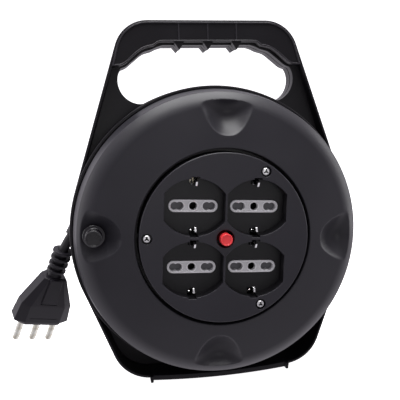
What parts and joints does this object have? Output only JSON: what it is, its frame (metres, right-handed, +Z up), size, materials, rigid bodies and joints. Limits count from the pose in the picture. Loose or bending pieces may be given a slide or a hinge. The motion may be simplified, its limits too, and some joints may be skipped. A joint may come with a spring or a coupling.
{
  "type": "extension cord reel",
  "caption": "Compact extension cord reel: a round drum with recessed sockets and a winding knob turns in a moulded frame with a carrying handle and a foot.",
  "frame": {"origin": "on the ground under the middle of the reel, without its free cord", "axes": "+X to the right when facing the sockets, +Y from the sockets towards the back, +Z up"},
  "size_m": [0.263, 0.0847, 0.2655],
  "materials": {
    "frame_plastic": "satin black",
    "black_plastic": "satin black",
    "ring_plastic": "satin charcoal",
    "panel_plastic": "satin dark grey",
    "cord_jacket": "satin black",
    "screw_steel": "zinc plated",
    "pin_metal": "nickel plated",
    "contact_brass": "plain",
    "light_grey_plastic": "semi gloss",
    "shutter_plastic": "satin grey",
    "red_plastic": "gloss red",
    "nylon": "natural",
    "white_plastic": "satin"
  },
  "bodies": {
    "frame": {"front_frame": "frame_plastic", "rear_housing": "frame_plastic", "handle_cover": "frame_plastic", "spigot_washer": "screw_steel", "spigot_screw": "screw_steel", "cord_outlet": "cord_jacket", "cord_tail": "cord_jacket", "plug_strain_relief": "cord_jacket", "plug_body": "cord_jacket", "plug_pin_1": "pin_metal", "plug_pin_2": "pin_metal", "plug_pin_3": "pin_metal", "frame_screw_1": "screw_steel", "frame_screw_2": "screw_steel", "frame_screw_3": "screw_steel", "frame_screw_4": "screw_steel", "frame_screw_5": "screw_steel", "frame_screw_6": "screw_steel"},
    "drum": {"front_ring": "ring_plastic", "drum_core": "black_plastic", "rear_flange": "black_plastic", "hub_bush": "nylon", "cord_winding": "cord_jacket", "socket_panel": "panel_plastic", "contact_rail_live": "contact_brass", "contact_rail_neutral": "contact_brass", "socket_back_cover": "black_plastic", "thermal_breaker": "black_plastic", "terminal_block": "white_plastic", "cord_clamp": "white_plastic", "inner_lead": "cord_jacket", "knob_pin": "screw_steel", "flange_screw_1": "screw_steel", "flange_screw_2": "screw_steel", "flange_screw_3": "screw_steel", "panel_screw_1": "screw_steel", "panel_screw_2": "screw_steel", "panel_screw_3": "screw_steel", "socket_insert_1": "light_grey_plastic", "socket_insert_2": "light_grey_plastic", "socket_insert_3": "light_grey_plastic", "socket_insert_4": "light_grey_plastic", "earth_strap_1": "contact_brass", "earth_strap_2": "contact_brass", "clamp_screw_1": "screw_steel", "clamp_screw_2": "screw_steel"},
    "knob": {"knob": "black_plastic"},
    "reset_button": {"reset_button": "red_plastic"},
    "shutter_1": {"shutter_1": "shutter_plastic"},
    "shutter_2": {"shutter_2": "shutter_plastic"},
    "shutter_3": {"shutter_3": "shutter_plastic"},
    "shutter_4": {"shutter_4": "shutter_plastic"}
  },
  "joints": [
    {"name": "drum_spin", "type": "hinge", "parent": "frame", "child": "drum", "pos_m": [0, -0.0335, 0.1112], "axis": [0, 1, 0], "continuous": true},
    {"name": "knob_spin", "type": "hinge", "parent": "drum", "child": "knob", "pos_m": [-0.08884, -0.0335, 0.11648], "axis": [0, 1, 0], "continuous": true},
    {"name": "reset_press", "type": "slide", "parent": "drum", "child": "reset_button", "axis": [0, 1, 0], "range_m": [0, 0.002], "stiffness_N_per_m": 600},
    {"name": "shutter_slide_1", "type": "slide", "parent": "drum", "child": "shutter_1", "axis": [-0.0593, 0, -0.9982], "range_m": [0, 0.006], "stiffness_N_per_m": 60},
    {"name": "shutter_slide_2", "type": "slide", "parent": "drum", "child": "shutter_2", "axis": [-0.0593, 0, -0.9982], "range_m": [0, 0.006], "stiffness_N_per_m": 60},
    {"name": "shutter_slide_3", "type": "slide", "parent": "drum", "child": "shutter_3", "axis": [-0.0593, 0, -0.9982], "range_m": [0, 0.006], "stiffness_N_per_m": 60},
    {"name": "shutter_slide_4", "type": "slide", "parent": "drum", "child": "shutter_4", "axis": [-0.0593, 0, -0.9982], "range_m": [0, 0.006], "stiffness_N_per_m": 60}
  ]
}
